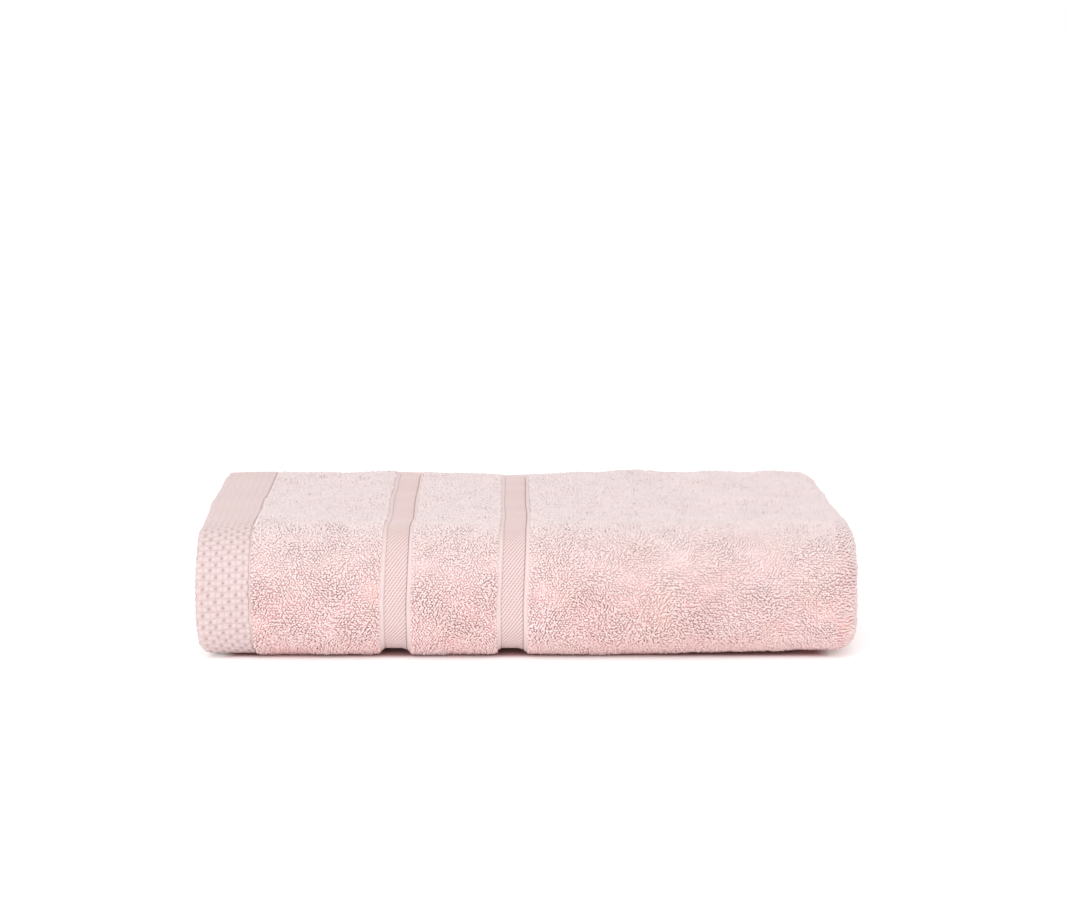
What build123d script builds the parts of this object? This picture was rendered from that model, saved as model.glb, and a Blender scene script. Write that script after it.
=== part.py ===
"""A terry bath towel, folded in four along its length and in three across its width.

Frame: +Z up, origin at the centre of the underside. The big rounded fold faces -Y. The woven end hems are
at -X and the folded end is at +X. Millimetres.

The cloth is first quartered into a pack of four leaves, a to d from the outside in. Leaf a carries one end
hem and leaf b the other. Leaves a and d join round the right end, b and c join inside that, and c and d join
at the left end. The pack is then folded in three: an inner third in the middle of the height, a lower third
under it and an upper third over it, so that leaf a is the outer face all the way round.
"""

from build123d import *

import math
import os

os.makedirs("parts", exist_ok=True)

# ------------------------------------------------------------ driving dimensions
CLOTH_LENGTH = 1400.0
CLOTH_WIDTH = 700.0
STACK_HEIGHT = 70.0
LEAVES = 4
THIRDS = 3

THIRD_GAP = 0.5  # air between one third's inner leaf and the next
LEAF_GAP = 0.16  # air between two leaves
INNER_CLEARANCE = 5.0  # keeps the inner side edge clear of the rounded front fold

LOWER_FRONT_RADIUS = 24.0
UPPER_FRONT_RADIUS = 30.0
EDGE_SETBACK = 5.0  # the upper third ends this far short of the back fold

# Woven sections, from each end of the cloth towards its middle: widths along the cloth
HEM_WIDTH = 28.0
SEWN_STRIP_WIDTH = 2.2
FIRST_TERRY_WIDTH = 65.6
RIB_WIDTH = 3.2
TWILL_WIDTH = 11.4
SECOND_TERRY_WIDTH = 44.6
SIDE_HEM_WIDTH = 9.0

# Thicknesses, all centred on the middle of a leaf
HEM_THICKNESS = 3.2  # the flat weave turned over twice
SEWN_STRIP_THICKNESS = 2.4
RIB_THICKNESS = 2.2
TWILL_THICKNESS = 1.5
SIDE_HEM_THICKNESS = 3.0
THREAD_WIDTH = 0.6
THREAD_THICKNESS = 0.3

# ------------------------------------------------------------ worked out from them
PACK = STACK_HEIGHT / THIRDS
PITCH = (PACK - THIRD_GAP) / LEAVES  # from one leaf's outer face to the next one's
HALF_GAP = LEAF_GAP / 2
TERRY_THICKNESS = PITCH - LEAF_GAP
LEAF_A, LEAF_B, LEAF_C, LEAF_D = (leaf * PITCH + TERRY_THICKNESS / 2 for leaf in range(LEAVES))  # depths
PACK_MIDDLE = 2 * PITCH - HALF_GAP  # depth of the right folds' centre, between leaves b and c
LEFT_FOLD_DEPTH = 3 * PITCH - HALF_GAP  # depth of the left fold's centre, between leaves c and d
LEFT_FOLD_REACH = PITCH - HALF_GAP

# The cloth's two lengths fix the folded size: the middle of the pack is as long as the cloth is wide, and the
# middles of the four leaves with their three folds are as long as the cloth.
FRONT_ARCS = math.pi / 2 * (LOWER_FRONT_RADIUS + UPPER_FRONT_RADIUS - 2 * PACK_MIDDLE)
FRONT_FLAT = STACK_HEIGHT - LOWER_FRONT_RADIUS - UPPER_FRONT_RADIUS
BACK_ARC = math.pi * (PACK - PACK_MIDDLE)
STRAIGHTS_SHORT_OF_DEPTH = (
    (PACK + INNER_CLEARANCE + PACK) + (PACK + LOWER_FRONT_RADIUS) + (UPPER_FRONT_RADIUS + EDGE_SETBACK)
)
DEPTH = (CLOTH_WIDTH - FRONT_ARCS - FRONT_FLAT - BACK_ARC + STRAIGHTS_SHORT_OF_DEPTH) / THIRDS

WIDE_FOLD_RADIUS = PACK_MIDDLE - LEAF_A
TIGHT_FOLD_RADIUS = PACK_MIDDLE - LEAF_B
FOLD_ARCS = math.pi * (WIDE_FOLD_RADIUS + 2 * TIGHT_FOLD_RADIUS)
LEAF_ENDS_SHORT = LEAVES * PACK_MIDDLE + 2 * LEFT_FOLD_REACH
WIDTH = (CLOTH_LENGTH - FOLD_ARCS + LEAF_ENDS_SHORT) / LEAVES

LEFT_X = -WIDTH / 2
RIGHT_FOLD_X = WIDTH / 2 - PACK_MIDDLE
LEFT_FOLD_X = LEFT_X + LEFT_FOLD_REACH
FRONT_Y = -DEPTH / 2
BACK_CENTRE_Y = DEPTH / 2 - PACK
INNER_EDGE_Y = FRONT_Y + PACK + INNER_CLEARANCE
OUTER_EDGE_Y = DEPTH / 2 - EDGE_SETBACK


def fold_path(depth, trim):
    """Draw the fold in three, this deep under the outer face and this far short of the two side edges."""
    lower_y = FRONT_Y + LOWER_FRONT_RADIUS
    upper_y = FRONT_Y + UPPER_FRONT_RADIUS
    upper_z = STACK_HEIGHT - UPPER_FRONT_RADIUS
    Line((INNER_EDGE_Y + trim, 2 * PACK - depth), (BACK_CENTRE_Y, 2 * PACK - depth))
    CenterArc((BACK_CENTRE_Y, PACK), PACK - depth, 90, -180)
    Line((BACK_CENTRE_Y, depth), (lower_y, depth))
    CenterArc((lower_y, LOWER_FRONT_RADIUS), LOWER_FRONT_RADIUS - depth, 270, -90)
    Line((FRONT_Y + depth, LOWER_FRONT_RADIUS), (FRONT_Y + depth, upper_z))
    CenterArc((upper_y, upper_z), UPPER_FRONT_RADIUS - depth, 180, -90)
    Line((upper_y, STACK_HEIGHT - depth), (OUTER_EDGE_Y - trim, STACK_HEIGHT - depth))


def woven_section(name, left, width, near, far, trim=SIDE_HEM_WIDTH):
    """One section of a leaf, right through the fold in three, between two depths under the outer face."""
    with BuildPart() as section:
        with BuildSketch(Plane.YZ.offset(left)):
            with BuildLine():
                fold_path(near, trim)
                fold_path(far, trim)
                Line(
                    (INNER_EDGE_Y + trim, 2 * PACK - near),
                    (INNER_EDGE_Y + trim, 2 * PACK - far),
                )
                Line(
                    (OUTER_EDGE_Y - trim, STACK_HEIGHT - near),
                    (OUTER_EDGE_Y - trim, STACK_HEIGHT - far),
                )
            make_face()
        extrude(amount=width)
    section.part.label = name
    export_step(section.part, f"parts/{name}.step")


def terry_fold(name, fold_x, side, depth, radius):
    """Terry turned back on itself at an end of the pack: half a ring, carried along the fold in three."""
    outer = radius + TERRY_THICKNESS / 2
    inner = radius - TERRY_THICKNESS / 2
    with BuildPart() as fold:
        with BuildLine(Plane.YZ.offset(fold_x)):
            fold_path(depth, SIDE_HEM_WIDTH)
        start = (fold_x, INNER_EDGE_Y + SIDE_HEM_WIDTH, 2 * PACK - depth)
        with BuildSketch(Plane(origin=start, x_dir=(side, 0, 0), z_dir=(0, 1, 0))):
            Circle(outer)
            Circle(inner, mode=Mode.SUBTRACT)
            Rectangle(outer, 2 * outer, align=(Align.MIN, Align.CENTER), mode=Mode.INTERSECT)
        sweep()
    fold.part.label = name
    export_step(fold.part, f"parts/{name}.step")


def leaf_strip(left, depth, thickness, top):
    """A leaf's edge seen from the side: a thin bar from left to the right fold, centred on this depth."""
    with Locations((left, top - depth)):
        Rectangle(RIGHT_FOLD_X - left, thickness, align=(Align.MIN, Align.CENTER))


def fold_ring(centre_x, side, depth, radius, thickness, top):
    """Half a ring on one side of a fold's centre, of this middle radius."""
    reach = radius + thickness / 2
    with BuildSketch(mode=Mode.PRIVATE) as ring:
        Circle(reach)
        Circle(radius - thickness / 2, mode=Mode.SUBTRACT)
        with Locations((side * reach / 2, 0)):
            Rectangle(reach, 2 * reach, mode=Mode.INTERSECT)
    with Locations((centre_x, top - depth)):
        add(ring.sketch)


def side_ribbon(name, edge_y, width, top, thickness, offsets):
    """A ribbon along one side of the cloth, which follows all four leaves and the three folds between them.

    offsets shift it off the middle of the cloth, once for each face that it lies on.
    """
    hem_end = LEFT_X + HEM_WIDTH + SEWN_STRIP_WIDTH
    with BuildPart() as ribbon:
        with BuildSketch(Plane.XZ.offset(-edge_y)):
            for shift in offsets:
                leaf_strip(hem_end, LEAF_A - shift, thickness, top)
                fold_ring(RIGHT_FOLD_X, 1, PACK_MIDDLE, WIDE_FOLD_RADIUS + shift, thickness, top)
                leaf_strip(LEFT_FOLD_X, LEAF_D + shift, thickness, top)
                fold_ring(LEFT_FOLD_X, -1, LEFT_FOLD_DEPTH, TIGHT_FOLD_RADIUS + shift, thickness, top)
                leaf_strip(LEFT_FOLD_X, LEAF_C - shift, thickness, top)
                fold_ring(RIGHT_FOLD_X, 1, PACK_MIDDLE, TIGHT_FOLD_RADIUS - shift, thickness, top)
                leaf_strip(hem_end, LEAF_B + shift, thickness, top)
        extrude(amount=width)
    ribbon.part.label = name
    export_step(ribbon.part, f"parts/{name}.step")


# ------------------------------------------------------------ the two ends of the cloth, on leaves a and b
sections = [
    ("end_hem", HEM_WIDTH, HEM_THICKNESS),
    ("sewn_strip", SEWN_STRIP_WIDTH, SEWN_STRIP_THICKNESS),
    ("terry_border", FIRST_TERRY_WIDTH, TERRY_THICKNESS),
    ("first_band_left_rib", RIB_WIDTH, RIB_THICKNESS),
    ("first_band_twill", TWILL_WIDTH, TWILL_THICKNESS),
    ("first_band_right_rib", RIB_WIDTH, RIB_THICKNESS),
    ("terry_between_bands", SECOND_TERRY_WIDTH, TERRY_THICKNESS),
    ("second_band_left_rib", RIB_WIDTH, RIB_THICKNESS),
    ("second_band_twill", TWILL_WIDTH, TWILL_THICKNESS),
    ("second_band_right_rib", RIB_WIDTH, RIB_THICKNESS),
]
sections_width = sum(width for _, width, _ in sections)
sections.append(("terry_field", RIGHT_FOLD_X - LEFT_X - sections_width, TERRY_THICKNESS))

for leaf, leaf_middle in (("a", LEAF_A), ("b", LEAF_B)):
    left = LEFT_X
    for section_name, width, thickness in sections:
        near = leaf_middle - thickness / 2
        far = leaf_middle + thickness / 2
        hemmed = section_name in ("end_hem", "sewn_strip")
        trim = 0.0 if hemmed else SIDE_HEM_WIDTH
        woven_section(f"leaf_{leaf}_{section_name}", left, width, near, far, trim)
        left += width

# ------------------------------------------------------------ the plain leaves and the folds between leaves
for leaf, leaf_middle in (("c", LEAF_C), ("d", LEAF_D)):
    near = leaf_middle - TERRY_THICKNESS / 2
    far = leaf_middle + TERRY_THICKNESS / 2
    woven_section(f"leaf_{leaf}_terry", LEFT_FOLD_X, RIGHT_FOLD_X - LEFT_FOLD_X, near, far)

terry_fold("right_fold_a_to_d", RIGHT_FOLD_X, 1, PACK_MIDDLE, WIDE_FOLD_RADIUS)
terry_fold("right_fold_b_to_c", RIGHT_FOLD_X, 1, PACK_MIDDLE, TIGHT_FOLD_RADIUS)
terry_fold("left_fold_c_to_d", LEFT_FOLD_X, -1, LEFT_FOLD_DEPTH, TIGHT_FOLD_RADIUS)

# ------------------------------------------------------------ side hems and sewing threads
side_edges = (
    ("inner", INNER_EDGE_Y + SIDE_HEM_WIDTH, 2 * PACK),
    ("outer", OUTER_EDGE_Y, STACK_HEIGHT),
)
side_thread_lift = (SIDE_HEM_THICKNESS + THREAD_THICKNESS) / 2
for edge_name, edge_y, top in side_edges:
    side_ribbon(f"side_hem_{edge_name}", edge_y, SIDE_HEM_WIDTH, top, SIDE_HEM_THICKNESS, [0.0])

seam_inset = 1.5  # of the side hem's stitches from its terry side
side_seams = (
    ("inner", INNER_EDGE_Y + SIDE_HEM_WIDTH - seam_inset, 2 * PACK),
    ("outer", OUTER_EDGE_Y - SIDE_HEM_WIDTH + seam_inset + THREAD_WIDTH, STACK_HEIGHT),
)
for edge_name, edge_y, top in side_seams:
    lifts = [side_thread_lift, -side_thread_lift]
    side_ribbon(f"side_hem_thread_{edge_name}", edge_y, THREAD_WIDTH, top, THREAD_THICKNESS, lifts)

strip_middle = LEFT_X + HEM_WIDTH + SEWN_STRIP_WIDTH / 2
for leaf, leaf_middle in (("a", LEAF_A), ("b", LEAF_B)):
    near = leaf_middle - SEWN_STRIP_THICKNESS / 2 - THREAD_THICKNESS
    far = leaf_middle - SEWN_STRIP_THICKNESS / 2
    thread_left = strip_middle - THREAD_WIDTH / 2
    woven_section(f"leaf_{leaf}_end_hem_thread", thread_left, THREAD_WIDTH, near, far, 0.0)

print(f"folded size {WIDTH:.1f} x {DEPTH:.1f} x {STACK_HEIGHT:.1f}, leaf pitch {PITCH:.2f}")
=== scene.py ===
"""The looks of a folded terry bath towel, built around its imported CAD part.

One map carries the flat cloth into its folded place, and every woven section, hem, thread and patch of
pile is made on that map. s runs along the cloth from its outer end hem, w runs across it from its inner side
edge, and lift is the height over the middle of the cloth, towards the face that shows. Lengths are in
millimetres until a mesh is made.
"""

import math

import bpy
import numpy as np
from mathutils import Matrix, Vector


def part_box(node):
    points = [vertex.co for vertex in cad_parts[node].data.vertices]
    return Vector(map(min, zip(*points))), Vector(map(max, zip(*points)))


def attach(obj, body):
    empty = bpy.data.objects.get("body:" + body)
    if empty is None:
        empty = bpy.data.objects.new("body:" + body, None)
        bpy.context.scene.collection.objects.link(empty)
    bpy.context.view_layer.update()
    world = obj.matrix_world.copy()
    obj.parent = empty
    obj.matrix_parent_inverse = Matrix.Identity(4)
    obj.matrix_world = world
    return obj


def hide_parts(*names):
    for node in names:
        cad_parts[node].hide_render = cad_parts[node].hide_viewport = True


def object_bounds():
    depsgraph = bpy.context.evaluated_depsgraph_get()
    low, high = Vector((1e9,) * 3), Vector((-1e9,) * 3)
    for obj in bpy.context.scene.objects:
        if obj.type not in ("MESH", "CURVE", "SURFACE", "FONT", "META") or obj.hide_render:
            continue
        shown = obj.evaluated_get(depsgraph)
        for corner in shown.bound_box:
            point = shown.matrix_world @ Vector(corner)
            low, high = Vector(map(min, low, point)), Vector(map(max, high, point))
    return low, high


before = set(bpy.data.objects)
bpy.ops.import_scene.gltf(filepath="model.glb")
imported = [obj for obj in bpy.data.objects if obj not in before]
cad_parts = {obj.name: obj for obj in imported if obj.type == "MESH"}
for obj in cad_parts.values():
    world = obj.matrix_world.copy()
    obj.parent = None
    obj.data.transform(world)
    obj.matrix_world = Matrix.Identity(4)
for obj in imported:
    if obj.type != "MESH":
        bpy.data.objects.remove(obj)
cad_low, cad_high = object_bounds()

MM = 0.001


# ------------------------------------------------------------ sizes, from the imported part
def node_span(node, axis):
    """A node's lowest and highest place along an axis, in millimetres."""
    low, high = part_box(node)
    return low[axis] / MM, high[axis] / MM


X, Y, Z = 0, 1, 2
LEFT_X = cad_low[X] / MM
RIGHT_X = cad_high[X] / MM
FRONT_Y = cad_low[Y] / MM
BACK_Y = cad_high[Y] / MM
HEIGHT = cad_high[Z] / MM

LEAF_GAP = 0.16  # air between two of the four leaves in a third
THIRD_GAP = 0.5  # and between two thirds
PACK = HEIGHT / 3
PITCH = (PACK - THIRD_GAP) / 4  # from one leaf's outer face to the next one's
TERRY = PITCH - LEAF_GAP  # thickness
PACK_MIDDLE = 2 * PITCH - LEAF_GAP / 2  # depth under the pack's outer face
LEAF_A = TERRY / 2
WIDE_FOLD = 1.5 * PITCH  # radii of the folds at the ends of the pack
TIGHT_FOLD = 0.5 * PITCH
RIGHT_FOLD_X = RIGHT_X - PACK_MIDDLE
LEFT_FOLD_X = LEFT_X + PITCH - LEAF_GAP / 2

LOWER_RADIUS = 24.0  # of the rounded front, at its foot and at its top
UPPER_RADIUS = 30.0
SIDE_HEM = 9.0
INNER_EDGE_Y = node_span("side_hem_inner", Y)[0]
OUTER_EDGE_Y = node_span("side_hem_outer", Y)[1]


# ------------------------------------------------------------ the two folds, as paths that turn evenly
def follow(start, runs, heading):
    """A path as a table: (length along it, two coordinates, heading), from runs of (length, turn)."""
    step = 0.25
    lengths = np.array([length for length, _ in runs])
    knots = np.concatenate([[0.0], np.cumsum(lengths)])
    headings = heading + np.concatenate([[0.0], np.cumsum([turn for _, turn in runs])])
    along = np.linspace(0.0, knots[-1], int(knots[-1] / step) + 1)
    angle = np.interp(along, knots, headings)
    middle = (angle[1:] + angle[:-1]) / 2
    moves = np.stack([np.cos(middle), np.sin(middle)], 1) * np.diff(along)[:, None]
    places = np.concatenate([[start], start + np.cumsum(moves, 0)])
    return {"along": along, "u": places[:, 0], "v": places[:, 1], "heading": angle, "knots": knots}


def on_path(path, along):
    """The two coordinates and the heading at these lengths along a path."""
    return tuple(np.interp(along, path["along"], path[key]) for key in ("u", "v", "heading"))


def face_length(w):
    """How far round the outer face a place across the cloth is, for patterns that keep their size there."""
    turned = -np.gradient(THIRDS["heading"], THIRDS["along"])
    growth = 1 + PACK_MIDDLE * turned
    total = np.concatenate([[0.0], np.cumsum((growth[1:] + growth[:-1]) / 2 * np.diff(THIRDS["along"]))])
    return np.interp(w, THIRDS["along"], total)


HALF_TURN = math.pi
QUARTER_TURN = math.pi / 2

# Across the cloth, in the YZ plane: inner third, back fold, lower third, front fold, upper third
THIRDS = follow(
    np.array([INNER_EDGE_Y, 2 * PACK - PACK_MIDDLE]),
    [
        (BACK_Y - PACK - INNER_EDGE_Y, 0.0),
        ((PACK - PACK_MIDDLE) * HALF_TURN, -HALF_TURN),
        (BACK_Y - PACK - FRONT_Y - LOWER_RADIUS, 0.0),
        ((LOWER_RADIUS - PACK_MIDDLE) * QUARTER_TURN, -QUARTER_TURN),
        (HEIGHT - LOWER_RADIUS - UPPER_RADIUS, 0.0),
        ((UPPER_RADIUS - PACK_MIDDLE) * QUARTER_TURN, -QUARTER_TURN),
        (OUTER_EDGE_Y - FRONT_Y - UPPER_RADIUS, 0.0),
    ],
    0.0,
)
BACK_START, BACK_END, LOWER_START, LOWER_END, UPPER_START, UPPER_END, CLOTH_WIDTH = THIRDS["knots"][1:]

# Along the cloth, in the plane of x and depth: leaf a, wide right fold, d, left fold, c, tight right fold, b
LONG_LEAF = RIGHT_FOLD_X - LEFT_X
SHORT_LEAF = RIGHT_FOLD_X - LEFT_FOLD_X
QUARTERS = follow(
    np.array([LEFT_X, LEAF_A]),
    [
        (LONG_LEAF, 0.0),
        (WIDE_FOLD * HALF_TURN, HALF_TURN),
        (SHORT_LEAF, 0.0),
        (TIGHT_FOLD * HALF_TURN, HALF_TURN),
        (SHORT_LEAF, 0.0),
        (TIGHT_FOLD * HALF_TURN, -HALF_TURN),
        (LONG_LEAF, 0.0),
    ],
    0.0,
)
A_END, D_START, D_END, C_START, C_END, B_START, CLOTH_LENGTH = QUARTERS["knots"][1:]


# ------------------------------------------------------------ smooth variation
def waves(seed, size, *coordinates):
    """Smooth noise of about unit height whose hills are about this size, from a few crossed waves."""
    rng = np.random.default_rng(seed)
    total = 0.0
    count = 9
    for _ in range(count):
        direction = rng.normal(size=len(coordinates))
        direction *= 2 * math.pi / size * rng.uniform(0.6, 1.5) / np.linalg.norm(direction)
        phase = rng.uniform(0, 2 * math.pi)
        total = total + np.cos(sum(k * c for k, c in zip(direction, coordinates)) + phase)
    return total * math.sqrt(2 / count)


def smooth_step(value, low, high):
    t = np.clip((value - low) / (high - low), 0.0, 1.0)
    return t * t * (3 - 2 * t)


# How far the hem's edge lies in from the straight line at the left, round the front from underneath
HEM_EDGE_AT = [LOWER_START - 30, LOWER_START, (LOWER_START + LOWER_END) / 2, LOWER_END, UPPER_START,
               (UPPER_START + UPPER_END) / 2, UPPER_END, UPPER_END + 80, CLOTH_WIDTH]
HEM_EDGE_IN = [5.0, 6.5, 1.8, 0.6, 0.6, 1.2, 1.3, -0.4, -0.6]


EDGE_SCALLOP, SCALLOP_PITCH = 0.5, 3.5  # the end hem's edge bulges a little at each row of its weave
FOOT_RISE = 2.6  # how far the foot rises off the floor towards the right
BAND_RISE = 1.5  # and how far it rises under the border bands


def over_band(x):
    """1 across each border band, which arches a little off the floor, and 0 away from them."""
    total = 0.0
    for band in ("first", "second"):
        left = node_span(f"leaf_a_{band}_band_left_rib", X)[0]
        right = node_span(f"leaf_a_{band}_band_right_rib", X)[1]
        total = total + smooth_step(x, left - 1, left + 5) * (1 - smooth_step(x, right - 5, right + 1))
    return total


def settle(x, y, z, s, w):
    """The small unevenness of a towel folded by hand, added to the plain fold."""
    at_left = 1 - smooth_step(x, LEFT_X, LEFT_X + 70)
    eased = 1.5 * smooth_step(x, LEFT_X + 20, LEFT_X + 90) * (1 - smooth_step(x, 20, RIGHT_X - 40))
    x = x + at_left * np.interp(w, HEM_EDGE_AT, HEM_EDGE_IN) + eased
    at_hem_end = 1 - smooth_step(s, 0.0, 2.5)
    if np.any(at_hem_end > 0):
        x = x - EDGE_SCALLOP * at_hem_end * np.abs(np.sin(math.pi * face_length(w) / SCALLOP_PITCH))
    off_floor = smooth_step(z, 0.0, 18.0)
    z = z + off_floor * (0.55 * waves(11, 95, x, y) + 0.25 * waves(12, 38, x, y))
    foot = (1 - smooth_step(z, 0, 40)) * (1 - smooth_step(y, FRONT_Y + 30, 0))
    z = z + FOOT_RISE * smooth_step(x, 30, RIGHT_X) * foot + BAND_RISE * over_band(x) * foot
    y = y + 0.5 * waves(13, 80, x, z) * smooth_step(FRONT_Y + 40 - y, 0.0, 40.0)
    x = x + 0.3 * waves(14, 130, y, z)
    leaning = smooth_step(w, UPPER_START - 14, UPPER_END - 8) * smooth_step(x, LEFT_X + 20, LEFT_X + 80)
    x = x + 1.6 * leaning * (1 - smooth_step(x, 20, RIGHT_X - 40))
    x = x - 4.0 * smooth_step(y, FRONT_Y + 30, BACK_Y) * smooth_step(x, 60, RIGHT_X) * smooth_step(z, 20, 60)
    return x, y, z


def cloth(s, w, lift):
    """Where a point of the cloth lies when it is folded: an array of (x, y, z)."""
    x, depth, along = on_path(QUARTERS, s)
    y, z, across = on_path(THIRDS, w)
    x = x + lift * np.sin(along)
    outwards = PACK_MIDDLE - (depth - lift * np.cos(along))
    y = y - outwards * np.sin(across)
    z = z + outwards * np.cos(across)
    return np.stack(settle(x, y, z, s, w), -1)


# ------------------------------------------------------------ meshes
def make_object(name, points, quads, uvs, material, **shades):
    """A mesh of four-sided faces from arrays of points, in millimetres, faces and one uv per face corner.
    shades are values from 0 to 1 at each point that the material reads as painted shade: depth, in hollows
    and between loops, and pressed, a duller tone on the top pile."""
    mesh = bpy.data.meshes.new(name)
    mesh.vertices.add(len(points))
    mesh.vertices.foreach_set("co", (points * MM).astype(np.float32).ravel())
    mesh.loops.add(quads.size)
    mesh.loops.foreach_set("vertex_index", quads.astype(np.int32).ravel())
    mesh.polygons.add(len(quads))
    mesh.polygons.foreach_set("loop_start", np.arange(0, quads.size, 4, dtype=np.int32))
    mesh.polygons.foreach_set("use_smooth", np.full(len(quads), True))
    for shade, values in shades.items():
        attribute = mesh.attributes.new(shade, "FLOAT", "POINT")
        attribute.data.foreach_set("value", np.clip(values, 0, 1).astype(np.float32).ravel())
    layer = mesh.uv_layers.new(name="OFBake")
    layer.uv.foreach_set("vector", uvs.astype(np.float32).ravel())
    mesh.update()
    mesh.validate()
    mesh.materials.append(material)
    piece = bpy.data.objects.new(name, mesh)
    bpy.context.scene.collection.objects.link(piece)
    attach(piece, "root")
    return piece


def grid_quads(rows, columns):
    """The faces of a grid of points, listed row by row."""
    corner = (np.arange(rows - 1)[:, None] * columns + np.arange(columns - 1)[None, :]).ravel()
    return np.stack([corner, corner + columns, corner + columns + 1, corner + 1], 1)


def rim_quads(rows, columns):
    """The faces that join the edges of an upper grid of points to those of a lower one."""
    index = np.arange(rows * columns).reshape(rows, columns)
    ring = np.concatenate([index[:, 0], index[-1, 1:], index[-2::-1, -1], index[0, -2:0:-1]])
    after = np.roll(ring, -1)
    below = rows * columns
    return np.stack([after, ring, ring + below, after + below], 1)


def slab(name, s_lines, w_lines, top, bottom, material, deep=None):
    """A closed piece of cloth between two lifts, on lines along and across the cloth.
    deep says how deep in its weave each place of its upper face is, from 0 to 1, which the material paints
    as shade."""
    s, w = np.meshgrid(s_lines, w_lines, indexing="ij")
    rows, columns = s.shape
    upper = cloth(s, w, top(s, w)).reshape(-1, 3)
    lower = cloth(s, w, bottom(s, w)).reshape(-1, 3)
    face = grid_quads(rows, columns)
    rim = rim_quads(rows, columns)
    quads = np.concatenate([face, face[:, ::-1] + rows * columns, rim])
    u = (s - s_lines[0]) / (s_lines[-1] - s_lines[0])
    v = (w - w_lines[0]) / (w_lines[-1] - w_lines[0])
    flat = np.stack([u.ravel() * 0.47 + 0.01, v.ravel() * 0.98 + 0.01], 1)
    turned = flat + [0.51, 0.0]
    rim_step = np.arange(len(rim)) / len(rim)
    rim_uv = np.stack(
        [np.stack([np.full(len(rim), side), rim_step + end / len(rim)], 1)
         for side, end in ((0.485, 1), (0.485, 0), (0.505, 0), (0.505, 1))], 1
    )
    uvs = np.concatenate([flat[face], turned[face[:, ::-1]], rim_uv])
    shades = {}
    # The depth attribute: painted shade on the upper face only.
    if deep:
        shades["depth"] = np.concatenate([deep(s, w).ravel(), np.zeros(rows * columns)])
    return make_object(name, np.concatenate([upper, lower]), quads, uvs, material, **shades)


def even_lines(start, end, spacing):
    return np.linspace(start, end, max(2, int(round((end - start) / spacing)) + 1))


def across_lines(fine, coarse, start=0.0, end=None):
    """Lines across the cloth's width: fine round the parts that show from outside, coarse where hidden."""
    end = CLOTH_WIDTH if end is None else end
    stretch = np.abs(np.gradient(THIRDS["heading"], THIRDS["along"])) * PACK_MIDDLE + 1
    along = THIRDS["along"]
    hidden = (along < BACK_START - 4) | ((along > BACK_END + 6) & (along < LOWER_START - 6))
    spacing = np.where(hidden, coarse, fine) / stretch
    count = np.concatenate([[0.0], np.cumsum(np.diff(along) / ((spacing[1:] + spacing[:-1]) / 2))])
    first, last = np.interp([start, end], along, count)
    number = max(2, int(round(last - first)) + 1)
    return np.interp(np.linspace(first, last, number), count, along)


# ------------------------------------------------------------ materials
PEACH, PINK, UNTINTED = (1.0, 0.99, 0.965), (1.0, 0.985, 0.985), (1.0, 1.0, 1.0)
TINT_PLACES = ((0.36, PEACH), (0.5, PINK), (1.0, UNTINTED))


def noise(nodes, links, vector, size, detail):
    """Noise over a vector, in metres, whose hills are about this many millimetres wide."""
    texture = nodes.new("ShaderNodeTexNoise")
    texture.inputs["Scale"].default_value = 1 / (size * MM)
    texture.inputs["Detail"].default_value = detail
    links.new(vector, texture.inputs["Vector"])
    return texture.outputs["Fac"]


def colour_ramp(nodes, links, value, stops):
    """A ramp through these places and colours, read at a value."""
    ramp = nodes.new("ShaderNodeValToRGB")
    elements = ramp.color_ramp.elements
    while len(elements) < len(stops):
        elements.new(0.5)
    for element, (place, colour) in zip(elements, stops):
        element.position = place
        element.color = (*colour, 1.0)
    links.new(value, ramp.inputs["Fac"])
    return ramp.outputs["Color"]


def colour_mix(nodes, links, first, second, blend_type="MIX"):
    """A node that mixes two colours, each an output or a fixed colour. The caller sets its factor."""
    mix = nodes.new("ShaderNodeMix")
    mix.data_type = "RGBA"
    mix.blend_type = blend_type
    for socket, colour in ((mix.inputs["A"], first), (mix.inputs["B"], second)):
        if isinstance(colour, tuple):
            socket.default_value = (*colour, 1.0)
        else:
            links.new(colour, socket)
    return mix


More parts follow.
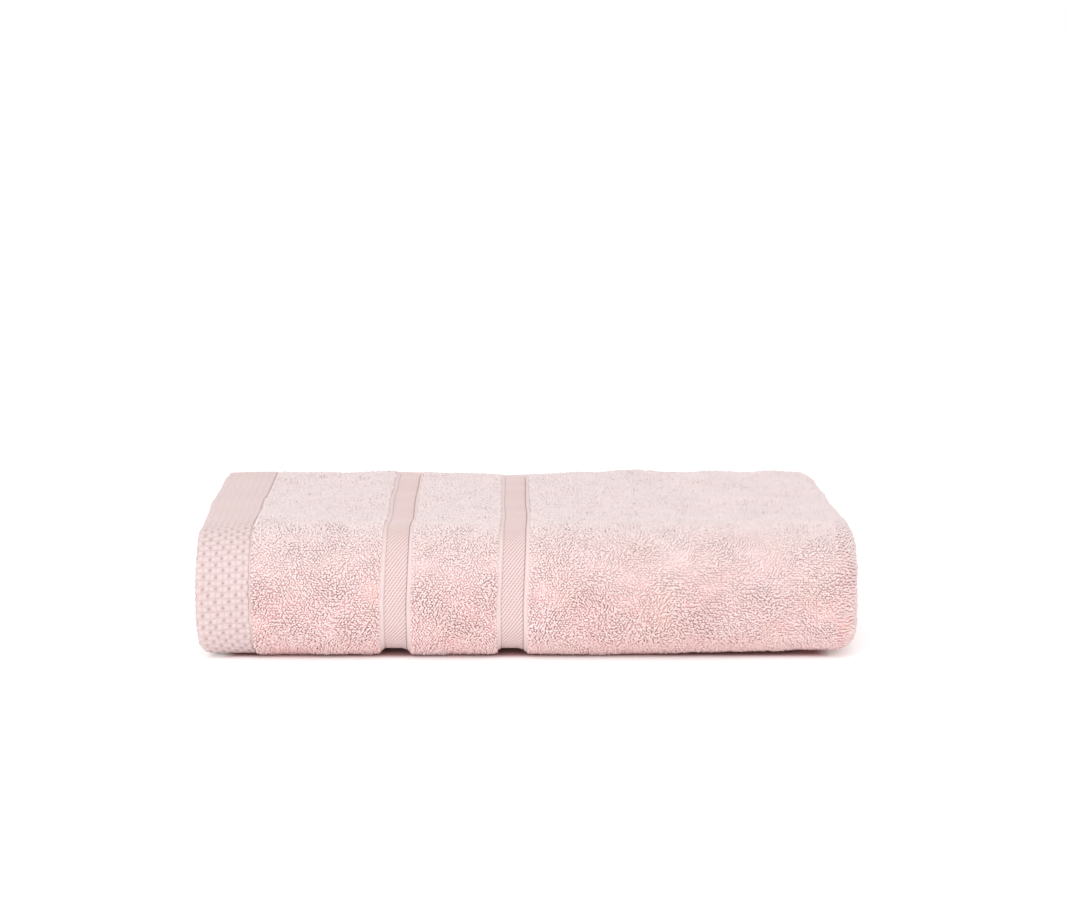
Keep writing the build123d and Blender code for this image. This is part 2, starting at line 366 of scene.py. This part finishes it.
def fabric(name, colour, pale, blotch, grain_size, grain, sheen, **shades):
    """A cotton finish: its colour drifts softly over the cloth, and fine grain roughens it.
    shades are colours of painted shade it turns to where a piece's attribute of that name is 1: depth,
    painted shade in hollows and between loops, and pressed, a painted duller tone on the top pile for how
    the light falls there."""
    material = bpy.data.materials.new(name)
    material.use_nodes = True
    nodes, links = material.node_tree.nodes, material.node_tree.links
    shader = nodes["Principled BSDF"]
    shader.inputs["Roughness"].default_value = 0.92
    shader.inputs["Specular IOR Level"].default_value = 0.12
    shader.inputs["Sheen Weight"].default_value = sheen
    shader.inputs["Sheen Roughness"].default_value = 0.55
    shader.inputs["Sheen Tint"].default_value = (1.0, 0.95, 0.94, 1.0)

    place = nodes.new("ShaderNodeTexCoord").outputs["Object"]
    fine = noise(nodes, links, place, grain_size, 4.0)
    blend = nodes.new("ShaderNodeMath")
    blend.operation = "MULTIPLY_ADD"
    blend.inputs[1].default_value = 0.35
    links.new(fine, blend.inputs[0])
    links.new(noise(nodes, links, place, blotch, 3.0), blend.inputs[2])
    drifting = colour_ramp(nodes, links, blend.outputs[0], ((0.45, colour), (0.9, pale)))

    shifted = nodes.new("ShaderNodeVectorMath")
    shifted.operation = "ADD"
    shifted.inputs[1].default_value = (3.0, 7.0, 5.0)
    links.new(place, shifted.inputs[0])
    wander = noise(nodes, links, shifted.outputs[0], 0.8 * blotch, 1.0)
    tinted = colour_mix(nodes, links, drifting, colour_ramp(nodes, links, wander, TINT_PLACES), "MULTIPLY")
    tinted.inputs["Factor"].default_value = 1.0
    result = tinted.outputs["Result"]
    # Painted shade: the colour turns to each shade colour as far as its attribute says.
    for shade, shade_colour in shades.items():
        amount = nodes.new("ShaderNodeAttribute")
        amount.attribute_name = shade
        mix = colour_mix(nodes, links, result, shade_colour)
        links.new(amount.outputs["Fac"], mix.inputs["Factor"])
        result = mix.outputs["Result"]
    links.new(result, shader.inputs["Base Color"])

    bump = nodes.new("ShaderNodeBump")
    bump.inputs["Strength"].default_value = grain
    bump.inputs["Distance"].default_value = 0.25 * MM
    links.new(fine, bump.inputs["Height"])
    links.new(bump.outputs["Normal"], shader.inputs["Normal"])
    return material


# Each depth colour is painted shade, for the hollows of the weave and the gaps between loops; the pile's
# pressed colour is a painted duller, greyer tone on its top, for how the light falls there.
PILE_YARN = fabric("pile_yarn", (0.86, 0.665, 0.65), (0.895, 0.745, 0.745), 26, 1.1, 0.35, 0.1,
                   pressed=(0.81, 0.70, 0.695), depth=(0.90, 0.60, 0.59))
GROUND_CLOTH = fabric("ground_cloth", (0.90, 0.72, 0.71), (0.92, 0.76, 0.75), 26, 0.9, 0.4, 0.0,
                      depth=(0.87, 0.53, 0.52))
HEM_YARN = fabric("hem_yarn", (0.675, 0.55, 0.545), (0.705, 0.585, 0.58), 40, 0.5, 0.3, 0.1,
                  depth=(0.42, 0.29, 0.29))
TWILL_YARN = fabric("twill_yarn", (0.745, 0.605, 0.595), (0.775, 0.64, 0.63), 40, 0.5, 0.25, 0.1,
                    depth=(0.47, 0.31, 0.31))
RIB_YARN = fabric("rib_yarn", (0.70, 0.575, 0.565), (0.73, 0.61, 0.60), 40, 0.4, 0.2, 0.1,
                  depth=(0.49, 0.33, 0.33))
SEAM_THREAD = fabric("seam_thread", (0.73, 0.60, 0.59), (0.76, 0.64, 0.63), 30, 0.3, 0.3, 0.1)


# ------------------------------------------------------------ the pile
LOOP_RINGS = 5
LOOP_SIDES = 4
LOOP_SHAPES = 48
END_PITCH = 1.2  # between the pile ends, across the cloth
LOOP_PITCH = 1.45  # between the loops of one pile end, along the cloth
PILE_ROOT = 1.5  # how far under the terry's outer face its loops stand
LOOP_HEIGHT = 1.65  # on the front
LOOP_HALF_WIDTH = 0.58  # from the middle of a loop to its legs
YARN_RADIUS = 0.58
GROUND_DEPTH = 1.15  # how far under the terry's outer face the gaps between loops end
LEAST_SHARE = 0.8  # a loop with less of its usual area than this, inside a bend, may be left out


def loop_shapes(seed):
    """A few yarn loops, each about one unit high and one unit from its middle to its legs.
    It gives their middle lines, by shape and ring, and the circles round those, by shape, ring and side."""
    rng = np.random.default_rng(seed)
    t = np.linspace(0.05, 0.95, LOOP_RINGS)
    shapes = []
    for _ in range(LOOP_SHAPES):
        height = np.sin(math.pi * t) ** 0.8
        out = (2 * t - 1) * (0.8 + 0.4 * np.sin(math.pi * t))
        twist = rng.normal(0.0, 0.5) * height
        side = rng.normal(0.0, 0.35) * np.sin(math.pi * t) + 0.1 * rng.normal(size=LOOP_RINGS)
        a = out * np.cos(twist) - side * np.sin(twist)
        b = out * np.sin(twist) + side * np.cos(twist)
        line = np.stack([a * rng.uniform(0.8, 1.2), b, height * rng.uniform(0.85, 1.1)], 1)
        heading = np.gradient(line, axis=0)
        heading /= np.linalg.norm(heading, axis=1)[:, None]
        sideways = np.cross(heading, [0.0, 1.0, 0.25])
        sideways /= np.linalg.norm(sideways, axis=1)[:, None]
        upwards = np.cross(heading, sideways)
        angle = 2 * math.pi * np.arange(LOOP_SIDES) / LOOP_SIDES
        ring = sideways[:, None] * np.cos(angle)[:, None] + upwards[:, None] * np.sin(angle)[:, None]
        shapes.append((line, ring))
    return np.array([line for line, _ in shapes]), np.array([ring for _, ring in shapes])


LOOP_LINES, LOOP_CIRCLES = loop_shapes(5)


def tube_faces(rings, sides, count):
    """The faces of that many open tubes, whose points are listed ring by ring."""
    ring = np.arange(rings - 1)[:, None] * sides
    side = np.arange(sides)[None, :]
    after = (side + 1) % sides
    one = np.stack([ring + side, ring + after, ring + sides + after, ring + sides + side], -1).reshape(-1, 4)
    return (np.arange(count)[:, None, None] * rings * sides + one).reshape(-1, 4)


def loop_uvs(count):
    """A uv for each face corner of that many loops, each loop in a cell of its own."""
    r, k = np.meshgrid(np.arange(LOOP_RINGS - 1), np.arange(LOOP_SIDES), indexing="ij")
    corners = np.stack(
        [np.stack([(r + i) / (LOOP_RINGS - 1), (k + j) / LOOP_SIDES], -1)
         for i, j in ((0, 0), (0, 1), (1, 1), (1, 0))], 2
    ).reshape(-1, 4, 2)
    cells = math.ceil(math.sqrt(count))
    cell = np.stack([np.arange(count) % cells, np.arange(count) // cells], 1) / cells
    return (cell[:, None, None, :] + (corners * 0.9 + 0.05) / cells).reshape(-1, 2)


def arc_positions(points, spacing):
    """Even steps along a line of points, as fractional places in the list."""
    run = np.concatenate([[0.0], np.cumsum(np.linalg.norm(np.diff(points, axis=0), axis=1))])
    number = max(1, int(round(run[-1] / spacing)))
    wanted = (np.arange(number) + 0.5) / number * run[-1]
    return np.interp(wanted, run, np.arange(len(run)))


def brushed_flat(w):
    """0 on the front, where the loops stand up, to 1 on top, where they are brushed flat."""
    return smooth_step(w, UPPER_START - 14, UPPER_END - 6)


def upright(w):
    """The height of the loops as a share of those on the front."""
    return 1 - 0.32 * brushed_flat(w)


def painted_gap_shade(w, z):
    """How much painted shade goes between the loops: most near the floor, where the towel's own shadow
    falls, least on top.
    """
    low = 0.35 * (1 - smooth_step(z, 0, 28)) + 0.8 * (1 - smooth_step(z, 0, 5))
    return 0.7 - 0.5 * brushed_flat(w) + low


# Painted shade on the ground cloth between the loops.
def ground_painted_gap_shade(s, w):
    return painted_gap_shade(w, on_path(THIRDS, w)[1])


def loop_places(rng, s_span, w_span):
    """Where the loops of a patch may stand, along and across the cloth, and the flat cloth round each."""
    s_fine, w_fine = np.linspace(*s_span, 600), np.linspace(*w_span, 1200)
    pile_middle = TERRY / 2 - 0.8
    across = cloth(np.full(len(w_fine), sum(s_span) / 2), w_fine, pile_middle)
    along = cloth(s_fine, np.full(len(s_fine), sum(w_span) / 2), pile_middle)
    w_rows = np.interp(arc_positions(across, END_PITCH), np.arange(len(w_fine)), w_fine)
    s_rows = np.interp(arc_positions(along, LOOP_PITCH), np.arange(len(s_fine)), s_fine)
    s_step, w_step = np.gradient(s_rows), np.gradient(w_rows)
    s, w = np.meshgrid(s_rows, w_rows, indexing="ij")
    loose = 1 - 0.25 * smooth_step(s, A_END - 110, A_END - 30)
    s = s + np.where(np.arange(len(w_rows)) % 2 == 0, 0.25, -0.25) * loose * s_step[:, None]
    s = s + rng.normal(0, 0.16, s.shape) * loose * s_step[:, None]
    w = w + rng.normal(0, 0.13, w.shape) * loose * w_step
    return s.ravel(), w.ravel(), (s_step[:, None] * w_step[None, :]).ravel()


def loop_stance(rng, w, tip):
    """How each loop stands: its turn, its lean along and across the cloth, and its height.
    Loops near each other lie much the same way, in swirls, and on top they are brushed to one side."""
    count = len(w)
    flow = 0.85 * waves(31, 34, *tip.T) + 0.5 * waves(32, 13, *tip.T)
    even = smooth_step(tip[:, X], RIGHT_X - 150, RIGHT_X - 60)
    brushed = 1.3 * smooth_step(tip[:, Z], 36, 58) * (0.7 + 0.4 * waves(36, 40, *tip.T))
    turn = (1 - 0.65 * even) * (flow + brushed + rng.normal(0, 0.35, count))
    lean_way = 2.2 * waves(33, 45, *tip.T) + rng.normal(0, 0.7, count)
    lean = np.abs(0.35 + 0.25 * waves(34, 20, *tip.T) + rng.normal(0, 0.2, count))
    crushed = 0.8 + 0.2 * smooth_step(tip[:, Z], 0.0, 8.0)
    uneven = 0.25 * waves(35, 17, *tip.T) + rng.normal(0, 0.22, count)
    tall = crushed * (LOOP_HEIGHT * upright(w) + upright(w) * uneven)
    return turn, lean * np.cos(lean_way), lean * np.sin(lean_way), tall


def turned(vectors, angle):
    """The vectors (a, b, height) of each loop, turned about the height by that loop's angle."""
    each = (slice(None),) + (None,) * (vectors.ndim - 2)
    cosine, sine = np.cos(angle)[each], np.sin(angle)[each]
    a, b, height = vectors[..., 0], vectors[..., 1], vectors[..., 2]
    return np.stack([a * cosine - b * sine, a * sine + b * cosine, height], -1)


def pile(name, s_span, w_span, seed):
    """A patch of looped pile on the face that shows, between these places along and across the cloth."""
    rng = np.random.default_rng(seed)
    s, w, flat_area = loop_places(rng, s_span, w_span)
    face, reach = TERRY / 2, 0.4
    base = cloth(s, w, face - PILE_ROOT * upright(w))
    tip = cloth(s, w, face)
    along_s = cloth(s + reach, w, face) - cloth(s - reach, w, face)
    along_w = cloth(s, w + reach, face) - cloth(s, w - reach, face)
    area = np.linalg.norm(np.cross(along_s, along_w), axis=1) / (2 * reach) ** 2 * flat_area
    kept = rng.random(len(s)) * LEAST_SHARE * END_PITCH * LOOP_PITCH < area
    w, base, tip, along_s = w[kept], base[kept], tip[kept], along_s[kept]
    count = len(w)

    normal = tip - base
    normal /= np.linalg.norm(normal, axis=1)[:, None]
    first = along_s - (along_s * normal).sum(1)[:, None] * normal
    first /= np.linalg.norm(first, axis=1)[:, None]
    second = np.cross(normal, first)

    turn, lean_along, lean_across, tall = loop_stance(rng, w, tip)
    wide = LOOP_HALF_WIDTH + rng.normal(0, 0.12, count)
    thick = YARN_RADIUS + rng.normal(0, 0.05, count)
    shape = rng.integers(0, LOOP_SHAPES, count)
    line, circle = LOOP_LINES[shape], LOOP_CIRCLES[shape]
    share = line[..., 2] ** 1.4
    line = turned(line * np.stack([wide, wide, tall], 1)[:, None, :], turn)
    line[..., 0] += share * lean_along[:, None]
    line[..., 1] += share * lean_across[:, None]
    local = line[:, :, None, :] + turned(circle, turn) * thick[:, None, None, None]
    points = (
        base[:, None, None, :]
        + local[..., 0:1] * first[:, None, None, :]
        + local[..., 1:2] * second[:, None, None, :]
        + local[..., 2:3] * normal[:, None, None, :]
    ).reshape(-1, 3)
    above_floor = 0.05
    points[:, Z] = np.maximum(points[:, Z], above_floor)

    # Painted shade: each loop darkens towards its foot, and more near the floor, in the towel's shadow
    # there.
    sunk = np.clip((LOOP_HEIGHT * upright(w)[:, None, None] - local[..., 2]) / 2.0, 0, 1)
    painted_floor_shade = 0.4 * (1 - smooth_step(tip[:, Z], 0, 16))
    depth = sunk * painted_gap_shade(w, tip[:, Z])[:, None, None] + painted_floor_shade[:, None, None]
    # Painted duller, greyer tone on the top pile, for how the light falls on top.
    pressed = np.repeat(smooth_step(w, UPPER_START - 10, UPPER_END + 2), LOOP_RINGS * LOOP_SIDES)
    quads = tube_faces(LOOP_RINGS, LOOP_SIDES, count)
    made = make_object(name, points, quads, loop_uvs(count), PILE_YARN, depth=depth, pressed=pressed)
    return made


# ------------------------------------------------------------ weaves, as lifts over the cloth's middle
HEM_HALF = 1.6  # how far each weave's faces lie from the cloth's middle, apart from its relief
STRIP_HALF = 1.1
RIB_BACK = 1.0
TWILL_FACE, TWILL_BACK = 0.7, 0.75
SIDE_HEM_HALF = 1.5
SIDE_HEM_ROLL = 1.4  # how far in from its edges a side hem rounds off


def flat_lift(value):
    return lambda s, w: np.full(s.shape, value)


def basket_weave(s, w):
    """Rows of round floats in pairs, with a deep eye between the pairs that changes place from row to row.
    It gives the lift, and how deep in the weave the yarn there is, which sets the painted shade in its eyes,
    between its floats and in its grooves."""
    pair, row = 7.1, 3.5
    w = face_length(w)
    s, w = s + 0.35 * waves(61, 14, s, w), w + 0.25 * waves(62, 14, s, w)
    number = np.round(w / row)
    from_row = w - number * row
    from_eye = np.mod(s + (number % 2) * pair / 2 + pair / 2, pair) - pair / 2
    eye = np.exp(-((from_eye / 0.8) ** 2) - (from_row / 1.0) ** 2)
    between = np.exp(-(((np.abs(from_eye) - pair / 2) / 0.4) ** 2) - (from_row / 1.3) ** 2)
    groove = (np.abs(from_row) / (row / 2)) ** 2.5
    return 0.4 - 1.3 * eye - 0.12 * between - 0.65 * groove, 0.75 * eye + 0.35 * between + 0.33 * groove


def twill(s, w):
    """Slanting cords that climb to the right, each broken by the threads that cross it: lift, and depth,
    which also sets the painted shade in its valleys.
    """
    w = face_length(w)
    phase = 2 * math.pi * (s / 1.9 - w / 2.9)
    valley = np.abs(np.sin(phase / 2)) ** 3
    crossing = 0.5 + 0.5 * np.cos(2 * math.pi * w / 1.45)
    deep = valley * (0.5 + 0.5 * crossing)
    return 0.25 - 0.6 * deep, deep


def shown(w):
    """1 where the outer face shows from outside, 0 where it is hidden in the fold or underneath."""
    back = smooth_step(w, BACK_START - 3, BACK_START) * (1 - smooth_step(w, BACK_END + 3, BACK_END + 6))
    front = smooth_step(w, LOWER_START - 6, LOWER_START - 3)
    return np.maximum(back, front)


def terry_top(s, w):
    """The ground under the pile, and where the towel lies on it, the pile pressed flat."""
    pressed = TERRY / 2 - 0.35 + 0.2 * waves(41, 5, s, w).clip(-1.5, 1.5)
    return np.where(shown(w) > 0, TERRY / 2 - GROUND_DEPTH * upright(w), pressed)


def rounded(edge, half_thickness, roll):
    """A lift that falls away at the cloth's end, as a turned edge does."""
    def lift(s, w):
        inside = np.abs(s - edge).clip(0, roll) / roll
        return half_thickness * np.sqrt(1 - (1 - inside) ** 2 * 0.9)
    return lift


def section_span(node, leaf):
    """Where along the cloth a section of leaf a or b starts and ends."""
    low, high = node_span(node, X)
    if leaf == "a":
        return low - LEFT_X, high - LEFT_X
    return CLOTH_LENGTH - (high - LEFT_X), CLOTH_LENGTH - (low - LEFT_X)


def with_edges(span, spacing, roll=0.0):
    """Lines along the cloth, closer together at a rounded edge."""
    lines = even_lines(span[0], span[1], spacing)
    if roll:
        near = np.array([0.06, 0.2, 0.45]) * roll
        lines = np.concatenate([lines, span[0] + near, span[1] - near])
    return np.unique(np.round(lines, 4))


def stands_for(piece, node):
    """A piece that takes a CAD node's place: the node is hidden."""
    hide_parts(node)
    return piece


def declare(piece, with_pieces=(), length=None):
    """Works out a section's length across the cloth: the width between the side hems unless one is given."""
    length = CLOTH_WIDTH - 2 * SIDE_HEM if length is None else length


INSIDE_HEMS = (SIDE_HEM, CLOTH_WIDTH - SIDE_HEM)


def end_hem(node, span, fine):
    """The turned hem at an end of the cloth. Only the outer one shows, so only that one has its weave."""
    body = rounded(0.0 if fine else CLOTH_LENGTH, HEM_HALF, HEM_HALF)

    # Where the weave's relief and its painted shade show: less of both on top.
    def clear(w):
        return shown(w) * (1 - 0.65 * smooth_step(w, UPPER_END - 6, UPPER_END + 30))

    def woven(s, w):
        return body(s, w) + basket_weave(s, w)[0] * clear(w) * (body(s, w) / HEM_HALF)

    # Painted shade in the weave's eyes and grooves.
    def deep(s, w):
        return basket_weave(s, w)[1] * clear(w)

    lines = with_edges(span, 0.5 if fine else 1.5, HEM_HALF)
    across = across_lines(0.52 if fine else 3.0, 3.0)
    return stands_for(slab(node + "_weave", lines, across, woven if fine else body,
                           lambda s, w: -body(s, w), HEM_YARN, deep if fine else None), node)


def sewn_strip(node, span):
    return stands_for(slab(node + "_weave", even_lines(*span, 0.4), across_lines(1.0, 3.0),
                           flat_lift(STRIP_HALF), flat_lift(-STRIP_HALF), RIB_YARN), node)


def border_rib(node, span, rises, groove):
    """A smooth rib that climbs to the terry, to the right if rises is 1, from a groove beside the twill."""
    def share(s):
        along = (s - span[0]) / (span[1] - span[0])
        return along if rises > 0 else 1 - along

    # How far the groove beside the twill sinks, which also sets the painted shade in it.
    def sunk(s, w):
        return groove * np.exp(-((share(s) / 0.13) ** 2))

    def top(s, w):
        return 0.85 + 0.9 * share(s) + 0.35 * np.sin(math.pi * share(s)) - 0.6 * sunk(s, w)

    return stands_for(slab(node + "_weave", even_lines(*span, 0.22), across_lines(1.0, 3.0, *INSIDE_HEMS),
                           top, flat_lift(-RIB_BACK), RIB_YARN, sunk), node)


def border_twill(node, span, fine):
    """The diagonal weave in the middle of a border band, in relief where it shows."""
    def top(s, w):
        return TWILL_FACE + twill(s, w)[0] * shown(w)

    # Painted shade in the twill's valleys, where they show.
    def deep(s, w):
        return twill(s, w)[1] * shown(w)

    lines = even_lines(*span, 0.38 if fine else 2.0)
    across = across_lines(0.42 if fine else 3.0, 3.0, *INSIDE_HEMS)
    return stands_for(slab(node + "_weave", lines, across, top if fine else flat_lift(TWILL_FACE),
                           flat_lift(-TWILL_BACK), TWILL_YARN, deep if fine else None), node)


def end_sections(leaf):
    """The woven sections of the outer leaf, or of the leaf inside it that carries the other end hem."""
    fine = leaf == "a"
    name = "leaf_" + leaf + "_"

    span = section_span(name + "end_hem", leaf)
    hem = end_hem(name + "end_hem", span, fine)
    strip_span = section_span(name + "sewn_strip", leaf)
    strip = sewn_strip(name + "sewn_strip", strip_span)
    rows = np.arange(2.0, CLOTH_WIDTH - 3.0, STITCH)
    starts = np.stack([np.full(len(rows), sum(strip_span) / 2), rows], 1)
    thread = stitches(name + "end_hem_thread", starts, (0.0, STITCH), STRIP_HALF)
    declare(hem, [strip, thread], CLOTH_WIDTH)

    for band in ("first", "second"):
        ribs = []
        for side, away in (("left", -1), ("right", 1)):
            node = f"{name}{band}_band_{side}_rib"
            ribs.append(border_rib(node, section_span(node, leaf), away if fine else -away,
                                   0.9 if side == "right" else 0.35))
        node = f"{name}{band}_band_twill"
        span = section_span(node, leaf)
        declare(border_twill(node, span, fine), ribs)

    for number, part in enumerate(("terry_border", "terry_between_bands", "terry_field")):
        span = section_span(name + part, leaf)
        top = terry_top if fine else flat_lift(TERRY / 2)
        across = across_lines(1.6 if fine else 3.0, 3.0, *INSIDE_HEMS)
        ground = slab(name + part + "_ground", with_edges(span, 2.0), across, top, flat_lift(-TERRY / 2),
                      GROUND_CLOTH, ground_painted_gap_shade)
        going_with = patches(name + part, span, number) if fine else []
        if part == "terry_field" and fine:
            going_with += SIDE_HEMS
        declare(stands_for(ground, name + part), going_with)


def patches(name, span, seed):
    """The pile on one terry section, cut into patches of about the same size."""
    inset = -0.4
    made = []
    zones = {
        "back": (BACK_START - 2, BACK_END + 4),
        "front": (LOWER_START - 4, UPPER_END),
        "top": (UPPER_END, CLOTH_WIDTH - SIDE_HEM),
    }
    widest = 50.0
    columns = max(1, math.ceil((span[1] - span[0]) / widest))
    edges = np.linspace(span[0] + inset, span[1] - inset, columns + 1)
    for zone_number, (zone, w_span) in enumerate(zones.items()):
        for column in range(columns):
            label = f"{name}_pile_{zone}" + (f"_{column + 1}" if columns > 1 else "")
            cell = (edges[column], edges[column + 1])
            made.append(pile(label, cell, w_span, 100 + 20 * seed + 5 * zone_number + column))
    return made


def plain_terry(node, s_span, spacing, top, across):
    """A plain section of the cloth, under its pile."""
    lines, w_lines = even_lines(*s_span, spacing), across_lines(across, 3.0, *INSIDE_HEMS)
    return stands_for(slab(node + "_ground", lines, w_lines, top, flat_lift(-TERRY / 2 + 0.05), GROUND_CLOTH,
                           ground_painted_gap_shade), node)


def fold_patches(node, span, seed):
    """The pile round a fold at an end of the pack, all the way across the cloth."""
    cuts = [SIDE_HEM, BACK_START, LOWER_START, UPPER_END, CLOTH_WIDTH - SIDE_HEM]
    return [pile(f"{node}_pile_{number + 1}", span, cuts[number:number + 2], seed + number)
            for number in range(len(cuts) - 1)]


# ------------------------------------------------------------ hems along the sides, and sewing threads
STITCH = 2.8


def stitches(node, starts, step, lift):
    """A row of lockstitches on the cloth: short rounded tubes that dip into it at both ends."""
    rings, sides, radius = 5, 6, 0.24
    stitch_share = 0.86  # of the step from one stitch to the next
    share = np.linspace(0, 1, rings)
    line = starts[:, None, :] + stitch_share * share[None, :, None] * np.asarray(step)
    height = lift + 0.2 * np.sin(math.pi * share) ** 0.6 - 0.18
    angle = 2 * math.pi * np.arange(sides) / sides
    sideways = np.array([-step[1], step[0]]) / np.linalg.norm(step)
    s = line[..., 0, None] + radius * np.cos(angle) * sideways[0]
    w = line[..., 1, None] + radius * np.cos(angle) * sideways[1]
    lifts = np.broadcast_to(height[None, :, None] + radius * np.sin(angle), s.shape)
    quads = tube_faces(rings, sides, len(starts))
    uvs = np.tile(np.array([[0, 0], [0, 1], [1, 1], [1, 0]]) * 0.9 + 0.05, (len(quads), 1))
    points = cloth(s, w, lifts).reshape(-1, 3)
    return stands_for(make_object(node + "_stitches", points, quads, uvs, SEAM_THREAD), node)


def side_hems():
    """The hem along each side of the cloth, between the end hems, and its row of stitches."""
    start = section_span("leaf_a_sewn_strip", "a")[1]
    end = CLOTH_LENGTH - start
    seam_in = 1.5  # from the hem's inner edge to its stitches
    stretches = ((start, A_END, 2.0), (A_END, D_START, 0.8), (D_START, D_END, 2.0), (D_END, C_START, 0.6),
                 (C_START, C_END, 2.0), (C_END, B_START, 0.6), (B_START, end, 2.0))
    lines = np.unique(np.concatenate([even_lines(*stretch) for stretch in stretches]))
    made = []
    for edge, w_span, seam in (
        ("inner", (0.0, SIDE_HEM), SIDE_HEM - seam_in),
        ("outer", (CLOTH_WIDTH - SIDE_HEM, CLOTH_WIDTH), CLOTH_WIDTH - SIDE_HEM + seam_in),
    ):
        def top(s, w):
            inside = np.minimum(w - w_span[0], w_span[1] - w).clip(0, SIDE_HEM_ROLL) / SIDE_HEM_ROLL
            return SIDE_HEM_HALF * np.sqrt(1 - (1 - inside) ** 2 * 0.9) + 0.05 * waves(51, 3, s, w)

        hem = slab(f"side_hem_{edge}_weave", lines, even_lines(*w_span, 0.6), top,
                   lambda s, w: -top(s, w), HEM_YARN)
        made.append(stands_for(hem, f"side_hem_{edge}"))
        rows = np.arange(start + 1.0, end - 3.0, STITCH)
        made.append(stitches(f"side_hem_thread_{edge}", np.stack([rows, np.full(len(rows), seam)], 1),
                             (STITCH, 0.0), SIDE_HEM_HALF))
    return made


# ------------------------------------------------------------ the towel
SIDE_HEMS = side_hems()
for leaf in "ab":
    end_sections(leaf)

pile_roots = flat_lift(TERRY / 2 - GROUND_DEPTH)
hidden_face = flat_lift(TERRY / 2 - 0.1)
wide_fold = plain_terry("right_fold_a_to_d", (A_END, D_START), 1.3, pile_roots, 2.0)
declare(wide_fold, fold_patches("right_fold_a_to_d", (A_END, D_START), 300))
declare(plain_terry("leaf_d_terry", (D_START, D_END), 8.0, hidden_face, 3.0))
left_fold = plain_terry("left_fold_c_to_d", (D_END, C_START), 0.9, pile_roots, 2.0)
tight_fold = plain_terry("right_fold_b_to_c", (C_END, B_START), 0.9, hidden_face, 3.0)
leaf_c = plain_terry("leaf_c_terry", (C_START, C_END), 8.0, hidden_face, 3.0)
declare(leaf_c,
        [left_fold, tight_fold, *fold_patches("left_fold_c_to_d", (D_END, C_START), 320)])


# ------------------------------------------------------------ floor, light and camera
def floor_material():
    """White, with a painted glow beside the towel that lifts its shadow there, to look as bright as the
    surround; under the towel no glow, and painted pink, for the pink light the towel reflects into its
    shadow.
    """
    material = bpy.data.materials.new("pale_floor")
    material.use_nodes = True
    nodes, links = material.node_tree.nodes, material.node_tree.links
    shader = nodes["Principled BSDF"]
    shader.inputs["Roughness"].default_value = 0.9
    shader.inputs["Specular IOR Level"].default_value = 0.1
    place = nodes.new("ShaderNodeTexCoord")
    sides = nodes.new("ShaderNodeSeparateXYZ")
    links.new(place.outputs["Object"], sides.inputs[0])
    outside = nodes.new("ShaderNodeMath")
    outside.operation = "MAXIMUM"
    for number, (axis, half) in enumerate((("X", RIGHT_X), ("Y", BACK_Y))):
        size = nodes.new("ShaderNodeMath")
        size.operation = "ABSOLUTE"
        links.new(sides.outputs[axis], size.inputs[0])
        past = nodes.new("ShaderNodeMath")
        past.operation = "SUBTRACT"
        past.inputs[1].default_value = half * MM
        links.new(size.outputs[0], past.inputs[0])
        links.new(past.outputs[0], outside.inputs[number])
    # lit is 0 well under the towel and 1 near its edges and beyond: the mask of the painted glow and the
    # painted pink shade.
    lit = nodes.new("ShaderNodeMapRange")
    lit.inputs["From Min"].default_value = -20 * MM
    lit.inputs["From Max"].default_value = -12 * MM
    links.new(outside.outputs[0], lit.inputs["Value"])
    # Painted pink reflected light in the shade under the towel, white elsewhere.
    colour = colour_mix(nodes, links, (0.80, 0.52, 0.52), (0.97, 0.965, 0.965))
    links.new(lit.outputs["Result"], colour.inputs["Factor"])
    links.new(colour.outputs["Result"], shader.inputs["Base Color"])
    # Painted glow, none under the towel, so the floor's shadow beside the towel is lifted and the contact
    # shadow stays dark.
    glow = nodes.new("ShaderNodeMath")
    glow.operation = "MULTIPLY"
    glow.inputs[1].default_value = 0.16
    links.new(lit.outputs["Result"], glow.inputs[0])
    shader.inputs["Emission Color"].default_value = (1.0, 1.0, 1.0, 1.0)
    links.new(glow.outputs[0], shader.inputs["Emission Strength"])
    return material


def wide_floor():
    bpy.ops.mesh.primitive_plane_add(size=60.0, location=(0, 0, 0))
    floor = bpy.context.object
    floor.name = "floor"
    floor.data.materials.append(floor_material())


def surround():
    world = bpy.data.worlds.new("studio")
    bpy.context.scene.world = world
    world.use_nodes = True
    background = world.node_tree.nodes["Background"]
    background.inputs["Color"].default_value = (1.0, 1.0, 1.0, 1.0)
    background.inputs["Strength"].default_value = 1.0
    bpy.context.scene.view_settings.view_transform = "Standard"


def lamps():
    """One large soft lamp in front, and one above."""
    for name, energy, size, place in (
        ("front", 14.0, 1.5, (-0.4, -2.5, 0.85)),
        ("above", 8.0, 1.2, (-0.3, -1.3, 1.9)),
    ):
        lamp = bpy.data.lights.new(name, "AREA")
        lamp.energy = energy
        lamp.size = size
        holder = bpy.data.objects.new(name, lamp)
        holder.location = place
        holder.rotation_euler = (Vector((0, 0, 0.03)) - Vector(place)).to_track_quat("-Z", "Y").to_euler()
        bpy.context.scene.collection.objects.link(holder)


def camera():
    """A long lens in front of the towel, a little above it, aimed over its front edge."""
    distance = 1.8
    elevation, aside = math.radians(10.08), math.radians(0.3)
    focus = Vector((0.0, FRONT_Y * MM, HEIGHT / 2 * MM))
    way = Vector((-math.sin(aside) * math.cos(elevation), -math.cos(aside) * math.cos(elevation),
                  math.sin(elevation)))
    data = bpy.data.cameras.new("camera")
    data.lens = 114.2
    data.sensor_width = 36.0
    data.clip_start = 0.05
    holder = bpy.data.objects.new("camera", data)
    holder.location = focus + way * distance
    aim = focus + Vector((0.0032, 0.0, 0.0765))
    holder.rotation_euler = (aim - holder.location).to_track_quat("-Z", "Y").to_euler()
    bpy.context.scene.collection.objects.link(holder)
    bpy.context.scene.camera = holder


wide_floor()
surround()
lamps()
camera()
